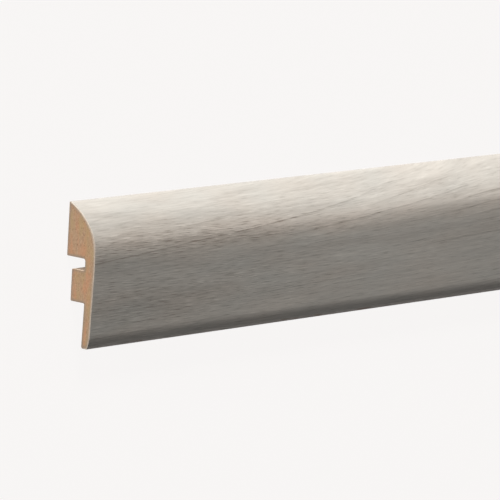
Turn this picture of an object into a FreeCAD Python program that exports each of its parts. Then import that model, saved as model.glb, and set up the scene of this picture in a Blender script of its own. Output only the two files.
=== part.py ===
"""Skirting board length: a moulded MDF core with a decor foil wrapped over its face."""

import FreeCAD, Part
import math
import os

# Overall sizes in millimetres
length = 2400.0
height = 60.0
thickness = 16.0
foil_thickness = 0.4

# Face curve, as seen in section, from the fullest line up to the top edge
crown_radius = 84.0
crown_angle = 4.8
shoulder_radius = 16.0
shoulder_angle = 34.7
top_radius = 27.9
nose_radius = 0.6

# Face curve from the fullest line down to the bottom edge
face_lean = 1.8
toe_height = 6.6
toe_radius = 17.0
toe_lean = 15.0
bottom_radius = 0.5

# Where the foil stops, past the top edge and past the bottom edge
foil_turn_top = 5.0
foil_turn_bottom = 1.5

# Clip groove, tongue and lip, cut in the back
groove_top = 37.4
groove_width = 5.0
groove_depth = 10.4
tongue_height = 13.5
tongue_setback = 3.2
lip_thickness = 5.0
lip_lean = 1.5
lip_round = 0.9
groove_end_radius = 1.0
cutter_radius = 0.5
arris_radius = 0.5


def section(v, t):
    """A point of the section: v up from the bottom edge, t out from the wall."""
    return FreeCAD.Vector(0, v, t)


def outward(angle):
    """The way the face looks where it is tipped up by this many degrees."""
    a = math.radians(angle)
    return FreeCAD.Vector(0, math.sin(a), math.cos(a))


class Turn:
    """A round part of the outline: a centre, a radius and the two ways it looks."""

    def __init__(self, centre, radius, start, end):
        self.centre = centre
        self.radius = radius
        self.start = start
        self.end = end

    def at(self, angle, inset):
        return self.centre + outward(angle) * (self.radius - inset)

    def edge(self, inset):
        middle = (self.start + self.end) / 2
        arc = Part.Arc(self.at(self.start, inset), self.at(middle, inset), self.at(self.end, inset))
        return arc.toShape()


def carry_on(last, radius, end):
    """The next turn, which leaves the last one without a kink."""
    centre = last.centre + outward(last.end) * (last.radius - radius)
    return Turn(centre, radius, last.end, end)


def face_turns():
    """Every turn of the face from the top of the back, over the front, to the underside."""
    # The top turn ends where the nose meets it and the nose meets the wall plane
    fullest = section(0, thickness - crown_radius)
    crown = Turn(fullest, crown_radius, -face_lean, crown_angle)
    shoulder = carry_on(crown, shoulder_radius, shoulder_angle)
    top_centre = shoulder.centre + outward(shoulder_angle) * (shoulder_radius - top_radius)
    cosine = (nose_radius - top_centre.z) / (top_radius - nose_radius)
    top_angle = math.degrees(math.acos(cosine))
    top = carry_on(shoulder, top_radius, top_angle)
    nose = carry_on(top, nose_radius, 180)

    # The curve hangs from the top edge, so all of it moves up to the height
    lift = FreeCAD.Vector(0, height - nose.centre.y - nose_radius, 0)
    for turn in (crown, shoulder, top, nose):
        turn.centre = turn.centre + lift

    # The flat runs down from the crown to the toe
    flat_top = crown.at(-face_lean, 0)
    slope = math.tan(math.radians(face_lean))
    flat_bottom = section(toe_height, flat_top.z - (flat_top.y - toe_height) * slope)
    toe_centre = flat_bottom - outward(-face_lean) * toe_radius
    toe = Turn(toe_centre, toe_radius, -toe_lean, -face_lean)

    # The bottom corner sits between the toe's straight and the underside
    end = toe.at(-toe_lean, 0)
    run = end.y - bottom_radius + bottom_radius * math.sin(math.radians(toe_lean))
    corner_face = end + section(-run, -run * math.tan(math.radians(toe_lean)))
    corner_centre = corner_face - outward(-toe_lean) * bottom_radius
    corner = Turn(corner_centre, bottom_radius, -90, -toe_lean)

    # From the back of the top edge round to the underside
    down = []
    for turn in (nose, top, shoulder, crown, toe, corner):
        down.append(Turn(turn.centre, turn.radius, turn.end, turn.start))
    return down


def face_path(turns, inset):
    """Edges of the face at a depth under its surface, with the two ends of the foil."""
    nose = turns[0]
    corner = turns[-1]
    back_end = section(height - foil_turn_top, inset)
    under_end = section(inset, corner.centre.z - foil_turn_bottom)
    edges = [Part.makeLine(back_end, nose.at(nose.start, inset))]
    for before, turn in zip([None] + turns[:-1], turns):
        if before is not None:
            leave = before.at(before.end, inset)
            meet = turn.at(turn.start, inset)
            if leave.distanceToPoint(meet) > 0.001:
                edges.append(Part.makeLine(leave, meet))
        edges.append(turn.edge(inset))
    edges.append(Part.makeLine(corner.at(corner.end, inset), under_end))
    return edges, back_end, under_end


def rounded_path(corners):
    """Straight edges through the corners, each corner with its own radius."""
    edges = []
    here = corners[0][0]
    for i in range(1, len(corners) - 1):
        point, radius = corners[i]
        back = (corners[i - 1][0] - point).normalize()
        ahead = (corners[i + 1][0] - point).normalize()
        half = back.getAngle(ahead) / 2
        reach = radius / math.tan(half)
        start = point + back * reach
        end = point + ahead * reach
        bisector = (back + ahead).normalize()
        middle = point + bisector * (radius / math.sin(half) - radius)
        edges.append(Part.makeLine(here, start))
        edges.append(Part.Arc(start, middle, end).toShape())
        here = end
    edges.append(Part.makeLine(here, corners[-1][0]))
    return edges


def run_off(edges):
    """The length that a closed outline gives when it is run through the moulder."""
    wire = Part.Wire(Part.__sortEdges__(edges))
    solid = Part.Face(wire).extrude(FreeCAD.Vector(length, 0, 0))
    solid.translate(FreeCAD.Vector(-length / 2, 0, 0))
    return solid


turns = face_turns()
skin, skin_back, skin_under = face_path(turns, 0)
bed, bed_back, bed_under = face_path(turns, foil_thickness)

# The foil lies between the skin and its bed on the core
foil = run_off(skin + bed + [Part.makeLine(skin_back, bed_back), Part.makeLine(skin_under, bed_under)])

# Back of the core, from the end of the foil under the edge up to its end behind the top
tongue_top = groove_top - groove_width
tongue_bottom = tongue_top - tongue_height
lip_back = thickness - lip_thickness
lip_foot = lip_back - tongue_bottom * math.tan(math.radians(lip_lean))
back = rounded_path(
    [
        (skin_under, 0),
        (section(0, lip_foot), lip_round),
        (section(tongue_bottom, lip_back), cutter_radius),
        (section(tongue_bottom, tongue_setback), arris_radius),
        (section(tongue_top, tongue_setback), arris_radius),
        (section(tongue_top, groove_depth), groove_end_radius),
        (section(groove_top, groove_depth), groove_end_radius),
        (section(groove_top, 0), arris_radius),
        (skin_back, 0),
    ]
)
core = run_off(bed + back + [Part.makeLine(skin_back, bed_back), Part.makeLine(skin_under, bed_under)])

# Laid face up it rests on the tongue and on the groove's upper edge
rest_tilt = math.degrees(math.atan(tongue_setback / (groove_top - tongue_bottom)))
for shape in (core, foil):
    shape.rotate(FreeCAD.Vector(0, 0, 0), FreeCAD.Vector(1, 0, 0), rest_tilt)
outline = Part.makeCompound([core, foil]).optimalBoundingBox(False)
rest_shift = FreeCAD.Vector(0, -(outline.YMin + outline.YMax) / 2, -outline.ZMin)
for shape in (core, foil):
    shape.translate(rest_shift)

os.makedirs("parts", exist_ok=True)
core.exportStep("parts/mdf_core.step")
foil.exportStep("parts/decor_foil.step")
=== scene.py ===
"""Looks of a foil-wrapped skirting board length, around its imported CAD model."""

import math

import bmesh
import bpy
import numpy as np
from mathutils import Matrix, Vector


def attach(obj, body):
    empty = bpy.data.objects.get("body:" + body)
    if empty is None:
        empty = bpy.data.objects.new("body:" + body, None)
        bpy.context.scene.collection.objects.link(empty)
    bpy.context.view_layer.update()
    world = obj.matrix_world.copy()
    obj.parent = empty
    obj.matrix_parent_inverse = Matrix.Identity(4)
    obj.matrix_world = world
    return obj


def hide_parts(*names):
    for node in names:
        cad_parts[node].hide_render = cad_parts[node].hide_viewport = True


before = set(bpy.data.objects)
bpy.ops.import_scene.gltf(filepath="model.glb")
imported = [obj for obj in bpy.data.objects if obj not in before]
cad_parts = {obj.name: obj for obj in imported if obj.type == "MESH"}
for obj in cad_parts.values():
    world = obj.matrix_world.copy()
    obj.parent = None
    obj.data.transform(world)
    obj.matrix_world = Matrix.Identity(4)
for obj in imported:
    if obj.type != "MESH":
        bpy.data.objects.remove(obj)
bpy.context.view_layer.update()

MM = 0.001

# The board's section in millimetres: height up from the bottom edge, depth out from the wall
LENGTH = 2400.0
HEIGHT = 60.0
THICKNESS = 16.0
FOIL_THICKNESS = 0.4
CROWN_RADIUS, CROWN_ANGLE = 84.0, 4.8
SHOULDER_RADIUS, SHOULDER_ANGLE = 16.0, 34.7
TOP_RADIUS = 27.9
NOSE_RADIUS = 0.6
FACE_LEAN = 1.8
TOE_HEIGHT, TOE_RADIUS, TOE_LEAN = 6.6, 17.0, 15.0
BOTTOM_RADIUS = 0.5
FOIL_TURN_TOP, FOIL_TURN_BOTTOM = 5.0, 1.5
GROOVE_TOP, GROOVE_WIDTH, GROOVE_DEPTH = 37.4, 5.0, 10.4
TONGUE_HEIGHT, TONGUE_SETBACK = 13.5, 3.2
LIP_THICKNESS, LIP_LEAN, LIP_ROUND = 5.0, 1.5, 0.9
GROOVE_END_RADIUS, CUTTER_RADIUS, ARRIS_RADIUS = 1.0, 0.5, 0.5

TONGUE_TOP = GROOVE_TOP - GROOVE_WIDTH
TONGUE_FOOT = TONGUE_TOP - TONGUE_HEIGHT
# Face up, the board leans on its tongue and on the groove's upper edge
TILT = math.atan2(TONGUE_SETBACK, GROOVE_TOP - TONGUE_FOOT)

# The saw leaves the core's edges at both ends a little broken, by this much
SAWN_RIM = 0.08
# How far round itself each spot of the sawn core looks for the rim, which shows about 1 mm wide
RIM_REACH = 2.8
# Steps in each round of the back, and the angle up to which the finished pieces shade smooth
BACK_STEPS, SMOOTH_ANGLE = 5, 25
# Closer than this, ends of the drawing and corners of the mesh are the same: millimetres, metres
SAME_END, SAME_CORNER = 1e-4, 1e-6

# Growth rings of the oak decor, in millimetres of flat sheet: how far apart they lie, how far off
# the first one is as a share of that, and how far they sway; then how far across the sheet the
# tips of their long arches lie, how far before the sawn end they start and how fast they open
RING, RING_START, RING_SWAY = 1.9, 0.84, 1.6
ARCH_ACROSS, ARCH_START, ARCH_RISE = 65.0, 200.0, 3.5
# Where a ring line is darkest and where it has faded, as shares of the distance between rings
RING_EDGE, RING_FADED = 0.05, 0.5
# The fibres lie straight with the sheet or bowed with the arches: how close either way packs them
# and how far it shifts them, and the places along and the shares between which the bowed way grows
STRAIGHT_PACK, STRAIGHT_SHIFT = 0.85, -42.0
BOWED_PACK, BOWED_SHIFT = -1.3, 54.0
BOWED_FROM, BOWED_TO = -40.0, 260.0
BOWED_LEAST, BOWED_MOST = 0.1, 0.75
# Pores: how long and how wide they are drawn, and how deep they are pressed
PORE_LENGTH, PORE_WIDTH, PORE_PRESS = 8.0, 0.32, 0.02
# How strongly each pattern of the decor shows, as shares of its range from dark to light
LINE_DEPTH, PORE_DEPTH, FLECK_DEPTH = 0.5, 0.55, 0.4
STREAK_DEPTH, BAND_DEPTH = 0.38, 0.34
# The middle of the board, and a half length that keeps a patch even from end to end
MIDDLE = LENGTH / 2
ALL_ALONG = 1e5
# Figure of the wood, with some painted light and shade among it: middle along and across, half length,
# half width and strength of each patch
PALE_AND_DARK = (
    # Pale band along the shoulder: partly paler wood, partly painted light where the shoulder turns up to
    # the lamp
    (190, 45.5, 160, 6.5, 0.32),
    (10, 17, 110, 12, -0.13),
    (0, 38, 90, 5.5, -0.12),
    (0, 35, 130, 70, -0.08),
    (280, 50, 60, 5, 0.08),
    (200, 51, 55, 4.5, 0.09),
    (160, 38, 65, 40, 0.09),
    (95, 41, 45, 5, -0.1),
    (60, 52.5, 90, 5, -0.14),
    (45, 46, 120, 3.2, 0.15),
    (230, 15, 90, 25, 0.05),
    (130, 62, 130, 9, -0.06),
    (MIDDLE, 67, ALL_ALONG, 5, -0.05),
    # Painted shade along the toe, where the face turns under away from the lamp
    (MIDDLE, 5.3, ALL_ALONG, 2.5, -0.13),
    (MIDDLE, 28, ALL_ALONG, 13, 0.03),
    (8, 57, 40, 7, -0.08),
    (12, 50, 38, 2.4, 0.09),
    (112, 11, 38, 6, 0.14),
    (88, 59, 42, 7, -0.1),
    (38, 15.5, 34, 3.4, -0.1),
    (142, 39, 28, 3.5, 0.11),
    (228, 44, 48, 3.4, -0.14),
    (68, 5, 24, 3.4, -0.12),
    (320, 3.6, 180, 3.0, -0.42),
)
# The same for where the pores crowd
PORE_CROWDS = (
    (40, 44, 200, 9, 0.9),
    (20, 22, 220, 26, 0.6),
    (MIDDLE, 35, 4000, 200, 0.6),
    (MIDDLE, 66, 4000, 18, -0.25),
)
# And for painted warm light along the shoulder, where the lit face meets the shaded one
PAINTED_WARM_LIGHT = (
    (120, 44, 400, 9, 0.6),
    (1500, 40, 700, 12, 0.5),
)
# Where the foil is paler round its bottom corner, from end to end: rubbed, and painted light for the
# floor's bounce
RUBBED_AND_BOUNCE_LIT = ((MIDDLE, 1.6, ALL_ALONG, 2.2, 1.7),)
# Rings that show clearly: middle along, radius of arch, half length, half width and strength
CLEAR_RINGS = (
    (80, 37.9, 160, 1.2, 1.1),
    (190, 41.5, 80, 1.0, 0.8),
    (270, 43.4, 60, 1.0, 0.7),
    (240, 45.3, 60, 1.0, 0.6),
    (215, 39.6, 55, 1.0, 0.5),
    (290, 41.5, 45, 1.0, 0.4),
    (300, 47.2, 60, 1.0, 0.7),
)

# Circular saw that cut the ends: its radius, its hub's height and the spacing of its tooth marks
SAW_RADIUS, SAW_HEIGHT, TOOTH_MARK = 150.0, 20.0, 1.2
# The way that the middle of the face looks, in the board's own directions
FACE_WAY = Vector((0, 0.5, 0.87))


def outward(angle):
    """The way the face looks where it is tipped up by this many degrees, as (height, depth)."""
    return np.array([math.sin(math.radians(angle)), math.cos(math.radians(angle))])


def face_turns():
    """The round parts of the face, top of the back to underside: centre, radius, from, to, steps."""
    crown = np.array([0.0, THICKNESS - CROWN_RADIUS])
    shoulder = crown + outward(CROWN_ANGLE) * (CROWN_RADIUS - SHOULDER_RADIUS)
    top = shoulder + outward(SHOULDER_ANGLE) * (SHOULDER_RADIUS - TOP_RADIUS)
    top_angle = math.degrees(math.acos((NOSE_RADIUS - top[1]) / (TOP_RADIUS - NOSE_RADIUS)))
    nose = top + outward(top_angle) * (TOP_RADIUS - NOSE_RADIUS)
    lift = np.array([HEIGHT - NOSE_RADIUS - nose[0], 0])
    flat_top = crown + lift + outward(-FACE_LEAN) * CROWN_RADIUS
    drop = math.tan(math.radians(FACE_LEAN)) * (flat_top[0] - TOE_HEIGHT)
    toe = np.array([TOE_HEIGHT, flat_top[1] - drop]) - outward(-FACE_LEAN) * TOE_RADIUS
    toe_end = toe + outward(-TOE_LEAN) * TOE_RADIUS
    run = toe_end[0] - BOTTOM_RADIUS + BOTTOM_RADIUS * math.sin(math.radians(TOE_LEAN))
    face = toe_end - np.array([run, run * math.tan(math.radians(TOE_LEAN))])
    corner = face - outward(-TOE_LEAN) * BOTTOM_RADIUS
    return [
        (nose + lift, NOSE_RADIUS, 180, top_angle, 12),
        (top + lift, TOP_RADIUS, top_angle, SHOULDER_ANGLE, 30),
        (shoulder + lift, SHOULDER_RADIUS, SHOULDER_ANGLE, CROWN_ANGLE, 24),
        (crown + lift, CROWN_RADIUS, CROWN_ANGLE, -FACE_LEAN, 12),
        (toe, TOE_RADIUS, -FACE_LEAN, -TOE_LEAN, 8),
        (corner, BOTTOM_RADIUS, -TOE_LEAN, -90, 8),
    ]


TURNS = face_turns()
# How far out from the wall the foil stops under the bottom edge
FOIL_END = TURNS[-1][0][1] - FOIL_TURN_BOTTOM


def spot(v, t, x=-LENGTH / 2):
    """A point of the board before it is laid down, in metres: v up from the edge, t out from the wall."""
    return Vector((x * MM, v * MM, t * MM))


def start_piece(name, v, t, size):
    """A small square of stock standing in the section's plane at the sawn end."""
    bpy.ops.object.select_all(action="DESELECT")
    bpy.ops.mesh.primitive_plane_add(size=size * MM, location=spot(v, t), rotation=(0, math.pi / 2, 0))
    piece = bpy.context.object
    piece.name = name
    piece.data.name = name
    bpy.ops.object.transform_apply(location=True, rotation=True, scale=True)
    bpy.ops.object.mode_set(mode="EDIT")
    bpy.ops.mesh.select_all(action="DESELECT")
    return piece


def pick(piece, kind, test):
    """Selects the corners, edges or faces, in edit mode, that pass the test."""
    bpy.ops.mesh.select_mode(type=kind)
    bpy.ops.mesh.select_all(action="DESELECT")
    mesh = bmesh.from_edit_mesh(piece.data)
    for part in {"VERT": mesh.verts, "EDGE": mesh.edges, "FACE": mesh.faces}[kind]:
        part.select = test(part)
    mesh.select_flush_mode()
    bmesh.update_edit_mesh(piece.data)


def draw_line(dv, dt):
    """Carries what is selected along a straight stretch of the section."""
    bpy.ops.mesh.extrude_region_move(TRANSFORM_OT_translate={"value": (0, dv * MM, dt * MM)})


def draw_turn(centre, start, end, steps):
    """Carries what is selected round a centre."""
    bpy.ops.mesh.spin(
        steps=steps, angle=math.radians(end - start), center=spot(*centre), axis=(1, 0, 0)
    )


def draw_face(inset):
    """Carries what is selected from the foil's end on the back, over the face, to its end under."""
    here = np.array([HEIGHT - FOIL_TURN_TOP, inset])
    for centre, radius, start, end, steps in TURNS:
        meet = centre + outward(start) * (radius - inset)
        if np.hypot(*(meet - here)) > SAME_END:
            draw_line(*(meet - here))
        draw_turn(centre, start, end, steps)
        here = centre + outward(end) * (radius - inset)
    draw_line(0, FOIL_END - here[1])


def draw_corners(corners):
    """Carries what is selected through the corners, each rounded with its own radius."""
    here = corners[0][0]
    for i in range(1, len(corners) - 1):
        point, radius = corners[i]
        back = corners[i - 1][0] - point
        ahead = corners[i + 1][0] - point
        back = back / np.hypot(*back)
        ahead = ahead / np.hypot(*ahead)
        half = math.acos(np.dot(back, ahead)) / 2
        start = point + back * radius / math.tan(half)
        middle = back + ahead
        centre = point + middle / np.hypot(*middle) * radius / math.sin(half)
        turn = math.copysign(180 - math.degrees(2 * half), back[0] * ahead[1] - back[1] * ahead[0])
        draw_line(*(start - here))
        draw_turn(centre, 0, turn, BACK_STEPS)
        here = point + ahead * radius / math.tan(half)
    draw_line(*(corners[-1][0] - here))


def run_off(piece):
    """Extrudes the drawn section to the full length, with its faces outwards."""
    bpy.ops.mesh.select_mode(type="FACE")
    bpy.ops.mesh.select_all(action="SELECT")
    bpy.ops.mesh.extrude_region_move(TRANSFORM_OT_translate={"value": (LENGTH * MM, 0, 0)})
    bpy.ops.mesh.select_all(action="SELECT")
    bpy.ops.mesh.normals_make_consistent(inside=False)


def is_end(face):
    """Whether a face looks along the board, as both sawn ends do."""
    return abs(face.normal.x) > 0.9


# The tilted board's place: its lowest edge on the floor and its box centred
LAID = Matrix.Rotation(TILT, 3, "X")
lowest = (LAID @ spot(GROOVE_TOP + ARRIS_RADIUS, ARRIS_RADIUS)).z - ARRIS_RADIUS * MM
near_y = (LAID @ spot(*TURNS[-1][0])).y - BOTTOM_RADIUS * MM
far_y = (LAID @ spot(*TURNS[0][0])).y + NOSE_RADIUS * MM
SHIFT = Vector((0, -(near_y + far_y) / 2, -lowest))


def laid(v, t, x):
    """Where a point of the board lies in the scene."""
    return LAID @ spot(v, t, x) + SHIFT


def lay_down(piece):
    """Lays the finished board down as it rests, with that place in its mesh."""
    bpy.ops.object.mode_set(mode="OBJECT")
    piece.rotation_euler = (TILT, 0, 0)
    piece.location = SHIFT
    bpy.ops.object.select_all(action="DESELECT")
    piece.select_set(True)
    bpy.context.view_layer.objects.active = piece
    bpy.ops.object.transform_apply(location=True, rotation=True, scale=True)
    bpy.ops.object.shade_smooth_by_angle(angle=math.radians(SMOOTH_ANGLE))


def skin_line():
    """Points of the foil's skin in drawing order, and the length of foil from its lower end."""
    points = [np.array([HEIGHT - FOIL_TURN_TOP, 0.0])]
    for centre, radius, start, end, steps in TURNS:
        for angle in np.linspace(start, end, steps + 1):
            points.append(centre + outward(angle) * radius)
    points.append(np.array([0.0, FOIL_END]))
    points = np.array(points)
    walked = np.concatenate([[0], np.cumsum(np.hypot(*np.diff(points, axis=0).T))])
    return points, walked[-1] - walked


def unroll(piece):
    """Gives the foil a UV map in metres of flat sheet: along from the sawn end, across from below."""
    points, across = skin_line()
    sheet = piece.data.uv_layers.new(name="flat_sheet")
    for loop in piece.data.loops:
        x, v, t = piece.data.vertices[loop.vertex_index].co / MM
        nearest = np.argmin(np.hypot(points[:, 0] - v, points[:, 1] - t))
        sheet.data[loop.index].uv = ((x + LENGTH / 2) * MM, across[nearest] * MM)


def make_foil():
    """One band of foil: its cut end is carried round the face, then run off."""
    middle = HEIGHT - FOIL_TURN_TOP + FOIL_THICKNESS / 2
    piece = start_piece("foil_wrap", middle, FOIL_THICKNESS / 2, FOIL_THICKNESS)
    pick(piece, "VERT", lambda vert: vert.co.y > middle * MM)
    bpy.ops.mesh.delete(type="VERT")
    bpy.ops.mesh.select_all(action="SELECT")
    draw_face(0)
    run_off(piece)
    pick(piece, "FACE", is_end)
    piece.data.materials.append(oak_decor())
    piece.data.materials.append(foil_body())
    piece.active_material_index = 1
    bpy.ops.object.material_slot_assign()
    bpy.ops.object.mode_set(mode="OBJECT")
    unroll(piece)
    lay_down(piece)
    return piece


def make_core():
    """The moulded core: its outline drawn from one corner, closed, filled and run off."""
    piece = start_piece("sawn_core", HEIGHT - FOIL_TURN_TOP, FOIL_THICKNESS, FOIL_THICKNESS)
    # Merged, the square is the corner from which the outline is drawn
    bpy.ops.mesh.select_mode(type="VERT")
    bpy.ops.mesh.select_all(action="SELECT")
    bpy.ops.mesh.merge(type="CENTER")
    draw_face(FOIL_THICKNESS)
    draw_line(-FOIL_THICKNESS, 0)
    lip_back = THICKNESS - LIP_THICKNESS
    lip_foot = lip_back - TONGUE_FOOT * math.tan(math.radians(LIP_LEAN))
    corners = (
        (0, FOIL_END, 0),
        (0, lip_foot, LIP_ROUND),
        (TONGUE_FOOT, lip_back, CUTTER_RADIUS),
        (TONGUE_FOOT, TONGUE_SETBACK, ARRIS_RADIUS),
        (TONGUE_TOP, TONGUE_SETBACK, ARRIS_RADIUS),
        (TONGUE_TOP, GROOVE_DEPTH, GROOVE_END_RADIUS),
        (GROOVE_TOP, GROOVE_DEPTH, GROOVE_END_RADIUS),
        (GROOVE_TOP, 0, ARRIS_RADIUS),
        (HEIGHT - FOIL_TURN_TOP, 0, 0),
    )
    draw_corners([(np.array([v, t], float), radius) for v, t, radius in corners])
    draw_line(0, FOIL_THICKNESS)
    bpy.ops.mesh.select_all(action="SELECT")
    bpy.ops.mesh.remove_doubles(threshold=SAME_CORNER)
    bpy.ops.mesh.select_all(action="SELECT")
    bpy.ops.mesh.edge_face_add()
    run_off(piece)
    # The saw breaks the edges round both ends
    pick(piece, "EDGE", lambda edge: any(is_end(face) for face in edge.link_faces))
    bpy.ops.mesh.bevel(offset=SAWN_RIM * MM, segments=1, affect="EDGES", clamp_overlap=False)
    pick(piece, "FACE", is_end)
    piece.data.materials.append(machined_mdf())
    piece.data.materials.append(sawn_mdf())
    piece.active_material_index = 1
    bpy.ops.object.material_slot_assign()
    lay_down(piece)
    return piece


def colour(code):
    """An sRGB hex colour as the linear colour that the shaders take."""
    parts = [int(code[i:i + 2], 16) / 255 for i in (1, 3, 5)]
    return [p / 12.92 if p <= 0.04045 else ((p + 0.055) / 1.055) ** 2.4 for p in parts] + [1.0]


def new_material(name):
    """A material with no nodes yet."""
    mat = bpy.data.materials.new(name)
    mat.use_nodes = True
    mat.node_tree.nodes.clear()
    return mat


def add(owner, kind, settings=None, links=None):
    """Adds a shader node to a material or the world, sets it, and feeds it from nodes or outputs."""
    made = owner.node_tree.nodes.new(kind)
    for key, value in (settings or {}).items():
        if isinstance(key, str) and key in made.bl_rna.properties:
            setattr(made, key, value)
        else:
            made.inputs[key].default_value = value
    for key, source in (links or {}).items():
        if isinstance(source, bpy.types.Node):
            source = source.outputs[0]
        owner.node_tree.links.new(source, made.inputs[key])
    return made


# Places of a Mix node's sockets: its share, its two numbers, its two colours and its colour result
FACTOR, FIRST_NUMBER, SECOND_NUMBER, FIRST, SECOND, BLEND = 0, 2, 3, 6, 7, 2


def oak_decor():
    """Oak decor printed on resin-soaked paper: a pale grey-beige satin sheet.

    To the eye it gives growth-ring lines that climb slowly along the board from the sawn end,
    short pores pressed along them, long fine streaks, and soft patches of warmer and paler wood.
    """
    mat = new_material("oak_decor_foil")
    sheet = add(mat, "ShaderNodeUVMap", {"uv_map": "flat_sheet"})
    mm = add(mat, "ShaderNodeMapping", {"Scale": (1 / MM, 1 / MM, 1)}, {"Vector": sheet})
    flat = add(mat, "ShaderNodeSeparateXYZ", {}, {"Vector": mm})
    along, across = flat.outputs["X"], flat.outputs["Y"]

    def pattern(where, length, width, detail, shift=0.0):
        """A noise whose marks are this long and this wide in millimetres, laid as the places say."""
        place = add(
            mat, "ShaderNodeMapping",
            {"Scale": (1 / length, 1 / width, 1), "Location": (0, 0, shift)}, {"Vector": where},
        )
        return add(mat, "ShaderNodeTexNoise", {"Scale": 1.0, "Detail": detail}, {"Vector": place})

    def patches(places, where=mm):
        """Soft patches added up: middle along and across, half length, half width, strength."""
        total = None
        for middle, height, half_length, half_width, strength in places:
            place = add(
                mat, "ShaderNodeMapping",
                {"vector_type": "TEXTURE", "Location": (middle, height, 0),
                 "Scale": (half_length, half_width, 1)},
                {"Vector": where},
            )
            off = add(mat, "ShaderNodeVectorMath", {"operation": "LENGTH"}, {0: place})
            patch = add(
                mat, "ShaderNodeMapRange",
                {"interpolation_type": "SMOOTHSTEP", "To Min": strength, "To Max": 0.0},
                {"Value": off.outputs["Value"]},
            )
            if total is None:
                total = patch
            else:
                total = add(mat, "ShaderNodeMath", {"operation": "ADD"}, {0: total, 1: patch})
        return total

    # A tapering trunk cut lengthwise shows its rings as long arches, one inside the other
    aside = add(mat, "ShaderNodeMath", {"operation": "SUBTRACT", 1: ARCH_ACROSS}, {0: across})
    square = add(mat, "ShaderNodeMath", {"operation": "MULTIPLY"}, {0: aside, 1: aside})
    past = add(mat, "ShaderNodeMath", {"operation": "ADD", 1: ARCH_START}, {0: along})
    opened = add(
        mat, "ShaderNodeMath", {"operation": "MULTIPLY_ADD", 1: ARCH_RISE}, {0: past, 2: square}
    )
    arch = add(mat, "ShaderNodeMath", {"operation": "SQRT"}, {0: opened})
    swing = add(
        mat, "ShaderNodeMath", {"operation": "MULTIPLY_ADD", 1: RING_SWAY, 2: -RING_SWAY / 2},
        {0: pattern(mm, 110, 35, 3)},
    )
    radius = add(mat, "ShaderNodeMath", {"operation": "ADD"}, {0: arch, 1: swing})
    arches = add(mat, "ShaderNodeCombineXYZ", {}, {"X": along, "Y": radius})

    # The fibres run with the board at the sawn end, and further on they lean towards the arches
    follow = add(
        mat, "ShaderNodeMapRange",
        {"From Min": BOWED_FROM, "From Max": BOWED_TO, "To Min": BOWED_LEAST, "To Max": BOWED_MOST},
        {"Value": along},
    )
    straight = add(
        mat, "ShaderNodeMath", {"operation": "MULTIPLY_ADD", 1: STRAIGHT_PACK, 2: STRAIGHT_SHIFT},
        {0: across},
    )
    bowed = add(
        mat, "ShaderNodeMath", {"operation": "MULTIPLY_ADD", 1: BOWED_PACK, 2: BOWED_SHIFT},
        {0: radius},
    )
    fibre = add(
        mat, "ShaderNodeMix", {"data_type": "FLOAT"},
        {FACTOR: follow, FIRST_NUMBER: straight, SECOND_NUMBER: bowed},
    )
    grain = add(mat, "ShaderNodeCombineXYZ", {}, {"X": along, "Y": fibre})

    # Growth rings: a sharp dark early side, then a slow fade to the next, shown here and there
    rings = add(
        mat, "ShaderNodeMath", {"operation": "MULTIPLY_ADD", 1: 1 / RING, 2: -RING_START}, {0: radius}
    )
    ring = add(mat, "ShaderNodeMath", {"operation": "FRACT"}, {0: rings})
    rise = add(mat, "ShaderNodeMapRange", {"From Max": RING_EDGE}, {"Value": ring})
    fade = add(
        mat, "ShaderNodeMapRange",
        {"From Min": RING_EDGE, "From Max": RING_FADED, "To Min": 1, "To Max": 0}, {"Value": ring},
    )
    fade = add(mat, "ShaderNodeMath", {"operation": "POWER", 1: 2.5}, {0: fade})
    haze = add(
        mat, "ShaderNodeMapRange", {"From Min": 0.46, "From Max": 0.84},
        {"Value": pattern(arches, 60, 3, 1)},
    )
    shown = add(
        mat, "ShaderNodeMath", {"operation": "ADD", "use_clamp": True},
        {0: haze, 1: patches(CLEAR_RINGS, arches)},
    )
    # They blur where an arch turns back
    sides = add(mat, "ShaderNodeMapRange", {"From Min": 20, "From Max": 220}, {"Value": square})
    line = rise
    for share in (fade, shown, sides):
        line = add(mat, "ShaderNodeMath", {"operation": "MULTIPLY"}, {0: line, 1: share})

    # Pores: dashes pressed along the grain, drawn wider than the real 0.2 mm so that they show
    pore = pattern(grain, PORE_LENGTH, PORE_WIDTH, 3)
    dark_pore = add(mat, "ShaderNodeMapRange", {"From Min": 0.54, "From Max": 0.7}, {"Value": pore})
    fleck = add(mat, "ShaderNodeMapRange", {"From Min": 0.44, "From Max": 0.3}, {"Value": pore})
    crowd = add(
        mat, "ShaderNodeMath", {"operation": "MULTIPLY_ADD", 1: 0.8},
        {0: line, 2: patches(PORE_CROWDS)},
    )
    dark_pore = add(mat, "ShaderNodeMath", {"operation": "MULTIPLY"}, {0: dark_pore, 1: crowd})
    fleck = add(mat, "ShaderNodeMath", {"operation": "MULTIPLY"}, {0: fleck, 1: crowd})

    # All of it added up to one tone, from 0, dark, to 1, light
    streak = pattern(grain, 30, 0.8, 2)
    tone = patches(PALE_AND_DARK)
    for amount, part, middle in (
        (-LINE_DEPTH, line, 0.05),
        (-PORE_DEPTH, dark_pore, 0.08),
        (FLECK_DEPTH, fleck, 0.08),
        (STREAK_DEPTH, streak, 0.5),
        (STREAK_DEPTH, pattern(grain, 45, 2.4, 2, 7.0), 0.5),
        (BAND_DEPTH, pattern(grain, 90, 12, 1, 3.0), 0.5),
    ):
        share = add(
            mat, "ShaderNodeMath", {"operation": "MULTIPLY_ADD", 1: amount, 2: -amount * middle},
            {0: part},
        )
        tone = add(mat, "ShaderNodeMath", {"operation": "ADD"}, {0: tone, 1: share})
    tone = add(mat, "ShaderNodeMath", {"operation": "ADD", 1: 0.5}, {0: tone})
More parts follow.
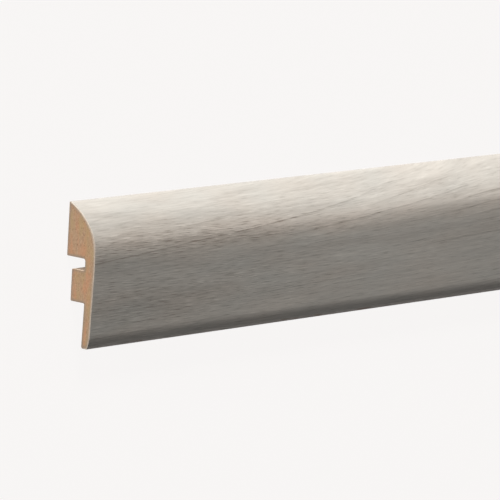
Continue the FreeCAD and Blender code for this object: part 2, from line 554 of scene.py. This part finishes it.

    # Grey and beige wood mix softly, with painted warm light added along the shoulder
    beige_and_warm_light = add(
        mat, "ShaderNodeMath", {"operation": "MULTIPLY_ADD", 1: 0.9, 2: -0.06},
        {0: pattern(grain, 40, 9, 1, 11.0)},
    )
    beige_and_warm_light = add(
        mat, "ShaderNodeMath", {"operation": "ADD", "use_clamp": True}, {0: beige_and_warm_light, 1: patches(PAINTED_WARM_LIGHT)}
    )
    dark, light = (
        add(
            mat, "ShaderNodeMix", {"data_type": "RGBA", FIRST: colour(grey), SECOND: colour(beige)},
            {FACTOR: beige_and_warm_light},
        )
        for grey, beige in (("#8A8781", "#93877B"), ("#D5D3CB", "#DED3C7"))
    )
    face = add(
        mat, "ShaderNodeMix", {"data_type": "RGBA"},
        {FACTOR: tone, FIRST: dark.outputs[BLEND], SECOND: light.outputs[BLEND]},
    )

    # The bottom corner is paler in short dashes: rubbed by handling, and painted light for the bounce
    # from the floor
    rub_and_bounce_light = add(
        mat, "ShaderNodeMapRange", {"From Min": 0.25, "From Max": 0.55},
        {"Value": pattern(mm, 9, 0.8, 2)},
    )
    rub_and_bounce_light = add(
        mat, "ShaderNodeMath", {"operation": "MULTIPLY", "use_clamp": True},
        {0: rub_and_bounce_light, 1: patches(RUBBED_AND_BOUNCE_LIT)},
    )
    # The saw chips the print off the paper here and there, right at both ends
    far = add(mat, "ShaderNodeMath", {"operation": "SUBTRACT", 0: LENGTH}, {1: along})
    end = add(mat, "ShaderNodeMath", {"operation": "MINIMUM"}, {0: along, 1: far})
    reach = add(
        mat, "ShaderNodeMath", {"operation": "MULTIPLY_ADD", 1: 3.0, 2: -1.8},
        {0: pattern(mm, 0.6, 1.2, 2)},
    )
    chipped = add(mat, "ShaderNodeMath", {"operation": "LESS_THAN"}, {0: end, 1: reach})
    # Small knocks on the bottom corner go through to the brown of the core
    knock = add(
        mat, "ShaderNodeMapRange", {"From Min": 0.6, "From Max": 0.7, "To Max": 0.8},
        {"Value": pattern(mm, 14, 1.8, 2)},
    )
    corner = add(mat, "ShaderNodeMapRange", {"From Min": 3.4, "From Max": 2.4}, {"Value": across})
    knock = add(mat, "ShaderNodeMath", {"operation": "MULTIPLY"}, {0: knock, 1: corner})
    for mask, bared in ((rub_and_bounce_light, "#E9E1D9"), (chipped, "#D6CABC"), (knock, "#8F6C54")):
        face = add(
            mat, "ShaderNodeMix", {"data_type": "RGBA", SECOND: colour(bared)},
            {FACTOR: mask, FIRST: face.outputs[BLEND]},
        )

    # Satin, and duller in the pores
    rough = add(
        mat, "ShaderNodeMath", {"operation": "MULTIPLY_ADD", 1: 0.2, 2: 0.42}, {0: dark_pore}
    )
    pressed = add(mat, "ShaderNodeMath", {"operation": "SUBTRACT"}, {0: streak, 1: dark_pore})
    relief = add(
        mat, "ShaderNodeBump", {"Strength": 1.0, "Distance": PORE_PRESS * MM}, {"Height": pressed}
    )
    shader = add(
        mat, "ShaderNodeBsdfPrincipled", {"IOR": 1.5, "Specular IOR Level": 0.4},
        {"Base Color": face.outputs[BLEND], "Roughness": rough, "Normal": relief},
    )
    add(mat, "ShaderNodeOutputMaterial", {}, {"Surface": shader})
    return mat


def board_mm(mat):
    """Places in millimetres in the board's own directions: along from its middle, up and out."""
    place = add(mat, "ShaderNodeTexCoord")
    start = Matrix.Rotation(-TILT, 3, "X") @ -SHIFT / MM
    return add(
        mat, "ShaderNodeMapping",
        {"Scale": (1 / MM, 1 / MM, 1 / MM), "Rotation": (-TILT, 0, 0), "Location": start},
        {"Vector": place.outputs["Object"]},
    )


def foil_body():
    """The foil's sawn edge: cream resin-soaked paper, matt and a little ragged, with painted light
    towards the top and painted shade behind.
    """
    mat = new_material("cut_foil_edge")
    mm = board_mm(mat)
    ragged = add(mat, "ShaderNodeTexNoise", {"Scale": 1 / 0.8, "Detail": 2.0}, {"Vector": mm})
    tone = add(mat, "ShaderNodeMapRange", {"From Min": 0.35, "From Max": 0.65}, {"Value": ragged})
    paper = add(
        mat, "ShaderNodeMix",
        {"data_type": "RGBA", FIRST: colour("#A69786"), SECOND: colour("#C4B7A8")}, {FACTOR: tone},
    )
    place = add(mat, "ShaderNodeSeparateXYZ", {}, {"Vector": mm})
    # Painted light: the edge is painted paler towards the top, as the lit top of the board would show it
    painted_top_light = add(
        mat, "ShaderNodeMapRange", {"From Min": 40, "From Max": 56, "To Max": 0.9},
        {"Value": place.outputs["Y"]},
    )
    paper = add(
        mat, "ShaderNodeMix", {"data_type": "RGBA", SECOND: colour("#FDF1DF")},
        {FACTOR: painted_top_light, FIRST: paper.outputs[BLEND]},
    )
    # Painted shade: the edge is painted darker behind, where it turns into shade at the back
    painted_back_shade = add(
        mat, "ShaderNodeMapRange", {"From Min": 0.3, "From Max": 1.6, "To Min": 0.85, "To Max": 0.0},
        {"Value": place.outputs["Z"]},
    )
    paper = add(
        mat, "ShaderNodeMix", {"data_type": "RGBA", SECOND: colour("#AD9C8B")},
        {FACTOR: painted_back_shade, FIRST: paper.outputs[BLEND]},
    )
    relief = add(mat, "ShaderNodeBump", {"Strength": 0.5, "Distance": 0.05 * MM}, {"Height": ragged})
    rough = add(mat, "ShaderNodeMapRange", {"To Min": 0.55, "To Max": 0.75}, {"Value": ragged})
    shader = add(
        mat, "ShaderNodeBsdfPrincipled", {"IOR": 1.5},
        {"Base Color": paper.outputs[BLEND], "Roughness": rough, "Normal": relief},
    )
    add(mat, "ShaderNodeOutputMaterial", {}, {"Surface": shader})
    return mat


def mdf_felt(mat, mm):
    """Colour of pressed wood fibre: felted brown with pinkish and straw clouds, dark and pale specks.

    The fibres lie in the plane of the sheet that the core was cut from, so flecks and clouds are
    longer along and up than through the thickness. Single fibres are under 0.1 mm thick, so they
    are drawn as coarser tufts that still show.
    """

    def felted(length, through, detail, shift=0.0):
        """A noise that is this long in the plane of the sheet and this long through it."""
        place = add(
            mat, "ShaderNodeMapping",
            {"Scale": (1 / length, 1 / length, 1 / through), "Location": (shift, 0, 0)}, {"Vector": mm},
        )
        return add(mat, "ShaderNodeTexNoise", {"Scale": 1.0, "Detail": detail}, {"Vector": place})

    fibre = felted(1.6, 0.5, 5)
    tone = add(mat, "ShaderNodeMapRange", {"From Min": 0.3, "From Max": 0.7}, {"Value": fibre})
    felt = add(
        mat, "ShaderNodeMix",
        {"data_type": "RGBA", FIRST: colour("#A38365"), SECOND: colour("#C2A286")}, {FACTOR: tone},
    )
    for mask, low, high, most, shown in (
        (felted(9, 2.4, 3), 0.46, 0.64, 0.75, "#C4916F"),
        (felted(11, 3, 3, 5), 0.48, 0.66, 0.65, "#B49B72"),
        (felted(0.9, 0.35, 3, 9), 0.61, 0.7, 0.7, "#6E5138"),
        (felted(0.8, 0.3, 3, 17), 0.61, 0.7, 0.6, "#DCC4A8"),
    ):
        share = add(
            mat, "ShaderNodeMapRange", {"From Min": low, "From Max": high, "To Max": most},
            {"Value": mask},
        )
        felt = add(
            mat, "ShaderNodeMix", {"data_type": "RGBA", SECOND: colour(shown)},
            {FACTOR: share, FIRST: felt.outputs[BLEND]},
        )
    return felt.outputs[BLEND], fibre


def sawn_mdf():
    """MDF cut by a fine circular saw: matt brown felt with faint curved tooth marks."""
    mat = new_material("sawn_mdf")
    mm = board_mm(mat)
    felt, fibre = mdf_felt(mat, mm)
    # Round its rim the cut is painted grey as shade on its broken edge: greyest behind and fainter at the
    # sides. Under the foil the rim is pale with glue. Near the rim the rounded normal turns away from the
    # sawn face, and its lean tells the foil's side from the back
    rounded = add(mat, "ShaderNodeBevel", {"samples": 8, "Radius": RIM_REACH * MM})
    square_on = add(mat, "ShaderNodeNewGeometry")
    turned = add(
        mat, "ShaderNodeVectorMath", {"operation": "DOT_PRODUCT"},
        {0: rounded, 1: square_on.outputs["True Normal"]},
    )
    painted_rim_shade = add(
        mat, "ShaderNodeMapRange", {"From Min": 1.0, "From Max": 0.9, "To Max": 0.95},
        {"Value": turned.outputs["Value"]},
    )
    face_way = tuple(LAID @ FACE_WAY)
    lean = add(mat, "ShaderNodeVectorMath", {"operation": "DOT_PRODUCT", 1: face_way}, {0: rounded})
    behind = add(
        mat, "ShaderNodeMapRange", {"From Min": 0.25, "From Max": 0.0, "To Min": 0.45},
        {"Value": lean.outputs["Value"]},
    )
    painted_rim_shade = add(mat, "ShaderNodeMath", {"operation": "MULTIPLY"}, {0: painted_rim_shade, 1: behind})
    glued = add(
        mat, "ShaderNodeMapRange", {"From Min": 0.42, "From Max": 0.62, "To Max": 0.9},
        {"Value": lean.outputs["Value"]},
    )
    for mask, shown in ((painted_rim_shade, "#998979"), (glued, "#CCBFB0")):
        felt = add(
            mat, "ShaderNodeMix", {"data_type": "RGBA", SECOND: colour(shown)},
            {FACTOR: mask, FIRST: felt},
        ).outputs[BLEND]
    # The blade comes from behind the board, so its marks are arcs about a far centre
    hub = (0, SAW_HEIGHT, -SAW_RADIUS)
    spoke = add(mat, "ShaderNodeVectorMath", {"operation": "SUBTRACT", 1: hub}, {0: mm})
    spoke = add(mat, "ShaderNodeVectorMath", {"operation": "MULTIPLY", 1: (0, 1, 1)}, {0: spoke})
    sweep = add(mat, "ShaderNodeVectorMath", {"operation": "LENGTH"}, {0: spoke}).outputs["Value"]
    teeth = add(mat, "ShaderNodeCombineXYZ", {}, {"X": sweep})
    mark = add(mat, "ShaderNodeTexNoise", {"Scale": 1 / TOOTH_MARK, "Detail": 1.0}, {"Vector": teeth})
    height = add(mat, "ShaderNodeMath", {"operation": "ADD"}, {0: fibre, 1: mark})
    relief = add(mat, "ShaderNodeBump", {"Strength": 1.0, "Distance": 0.06 * MM}, {"Height": height})
    rough = add(mat, "ShaderNodeMapRange", {"To Min": 0.8, "To Max": 0.95}, {"Value": fibre})
    shader = add(
        mat, "ShaderNodeBsdfPrincipled", {"IOR": 1.45, "Specular IOR Level": 0.2},
        {"Base Color": felt, "Roughness": rough, "Normal": relief},
    )
    add(mat, "ShaderNodeOutputMaterial", {}, {"Surface": shader})
    return mat


def machined_mdf():
    """MDF run through a moulder: the same felt, smoother, with fine cutter lines along the board."""
    mat = new_material("machined_mdf")
    mm = board_mm(mat)
    felt, fibre = mdf_felt(mat, mm)
    # Cut and torn fibre ends make it paler than the saw leaves it, and it is painted paler still as light
    # for the bounce that brightens the groove's faces
    felt = add(
        mat, "ShaderNodeMix", {"data_type": "RGBA", FACTOR: 0.75, SECOND: colour("#D0BFAD")},
        {FIRST: felt},
    ).outputs[BLEND]
    line_mm = add(mat, "ShaderNodeMapping", {"Scale": (1 / 90, 1 / 0.35, 1 / 0.35)}, {"Vector": mm})
    line = add(mat, "ShaderNodeTexNoise", {"Scale": 1.0, "Detail": 1.0}, {"Vector": line_mm})
    height = add(mat, "ShaderNodeMath", {"operation": "MULTIPLY_ADD", 1: 0.4}, {0: fibre, 2: line})
    relief = add(mat, "ShaderNodeBump", {"Strength": 1.0, "Distance": 0.02 * MM}, {"Height": height})
    rough = add(mat, "ShaderNodeMapRange", {"To Min": 0.6, "To Max": 0.8}, {"Value": line})
    shader = add(
        mat, "ShaderNodeBsdfPrincipled", {"IOR": 1.45, "Specular IOR Level": 0.3},
        {"Base Color": felt, "Roughness": rough, "Normal": relief},
    )
    add(mat, "ShaderNodeOutputMaterial", {}, {"Surface": shader})
    return mat


foil = make_foil()
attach(foil, "root")
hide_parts("decor_foil")

core = make_core()
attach(core, "root")
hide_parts("mdf_core")

# The backdrop's colour as the camera sees it, and how much of it hides the floor's own shading
BACKDROP = "#F7F5F4"
BACKDROP_GLOW = 1.016
BACKDROP_SHARE = 0.975
FLOOR_SIZE = 30
# The spot near the sawn end that the lamps look at: up, out and along from the board's middle
LAMP_AIM = (30, 8, -1065)


def backdrop_share(owner):
    """How far a ray sees the backdrop's colour: only what the camera, gloss and glass see."""
    path = add(owner, "ShaderNodeLightPath")
    seen = path.outputs["Is Camera Ray"]
    for ray in ("Is Glossy Ray", "Is Transmission Ray"):
        seen = add(
            owner, "ShaderNodeMath", {"operation": "MAXIMUM"}, {0: seen, 1: path.outputs[ray]}
        )
    return seen


def studio_floor():
    """A plain pale floor that keeps a faint shadow of the board."""
    bpy.ops.object.select_all(action="DESELECT")
    bpy.ops.mesh.primitive_plane_add(size=FLOOR_SIZE, location=(0, 0, 0))
    floor = bpy.context.object
    floor.name = "studio_floor"
    mat = new_material("pale_floor")
    shaded = add(mat, "ShaderNodeBsdfDiffuse", {"Color": colour("#E9E7E5")})
    bright = add(mat, "ShaderNodeEmission", {"Color": colour(BACKDROP), "Strength": BACKDROP_GLOW})
    share = add(
        mat, "ShaderNodeMath", {"operation": "MULTIPLY", 1: BACKDROP_SHARE}, {0: backdrop_share(mat)}
    )
    both = add(mat, "ShaderNodeMixShader", {}, {0: share, 1: shaded, 2: bright})
    add(mat, "ShaderNodeOutputMaterial", {}, {"Surface": both})
    floor.data.materials.append(mat)


def softbox(name, way, distance, wide, high, watts):
    """A lamp that looks at the sawn end from a way given in the board's own directions."""
    data = bpy.data.lights.new(name, "AREA")
    data.shape = "RECTANGLE"
    data.size = wide
    data.size_y = high
    data.energy = watts
    lamp = bpy.data.objects.new(name, data)
    bpy.context.scene.collection.objects.link(lamp)
    direction = (LAID @ Vector(way)).normalized()
    lamp.location = laid(*LAMP_AIM) + direction * distance
    lamp.rotation_euler = direction.to_track_quat("Z", "Y").to_euler()


def studio_air():
    """Weak even light all round, with the backdrop's colour where it is seen itself."""
    world = bpy.data.worlds.new("studio_air")
    world.use_nodes = True
    world.node_tree.nodes.clear()
    weak = add(world, "ShaderNodeBackground", {"Color": colour("#FFFFFF"), "Strength": 0.05})
    seen = add(world, "ShaderNodeBackground", {"Color": colour(BACKDROP), "Strength": 1.0})
    both = add(world, "ShaderNodeMixShader", {}, {0: backdrop_share(world), 1: weak, 2: seen})
    add(world, "ShaderNodeOutputWorld", {}, {"Surface": both})
    bpy.context.scene.world = world


studio_floor()
softbox("key_softbox", way=(-0.15, 1.0, 0.28), distance=4.5, wide=1.6, high=0.75, watts=253)
softbox("end_softbox", way=(-1.0, 0.8, 0.035), distance=6.0, wide=1.2, high=0.6, watts=206)
studio_air()

# Where the photograph was taken from, in the board's own directions: along, up, out
CAMERA_ALONG, CAMERA_UP, CAMERA_OUT = -1459.5, 369.3, 1365.6
CAMERA_RIGHT = Vector((0.66112, 0.05625, 0.74817))
CAMERA_BACK = Vector((-0.74557, 0.16078, 0.64674))
FOCAL_PIXELS = 4910.8
PHOTO_PIXELS = 500


def photo_camera():
    """The camera of the photograph, placed from the board's own directions."""
    data = bpy.data.cameras.new("photo_camera")
    camera = bpy.data.objects.new("photo_camera", data)
    bpy.context.scene.collection.objects.link(camera)
    data.sensor_fit = "HORIZONTAL"
    data.sensor_width = 36.0
    data.lens = data.sensor_width * FOCAL_PIXELS / PHOTO_PIXELS
    data.clip_start = 0.1
    data.clip_end = 100
    right = CAMERA_RIGHT.normalized()
    back = (CAMERA_BACK - right * CAMERA_BACK.dot(right)).normalized()
    turn = Matrix((LAID @ right, LAID @ back.cross(right), LAID @ back)).transposed()
    place = laid(CAMERA_UP, CAMERA_OUT, CAMERA_ALONG - LENGTH / 2)
    camera.matrix_world = Matrix.Translation(place) @ turn.to_4x4()
    bpy.context.scene.camera = camera


photo_camera()
bpy.context.scene.view_settings.view_transform = "Standard"
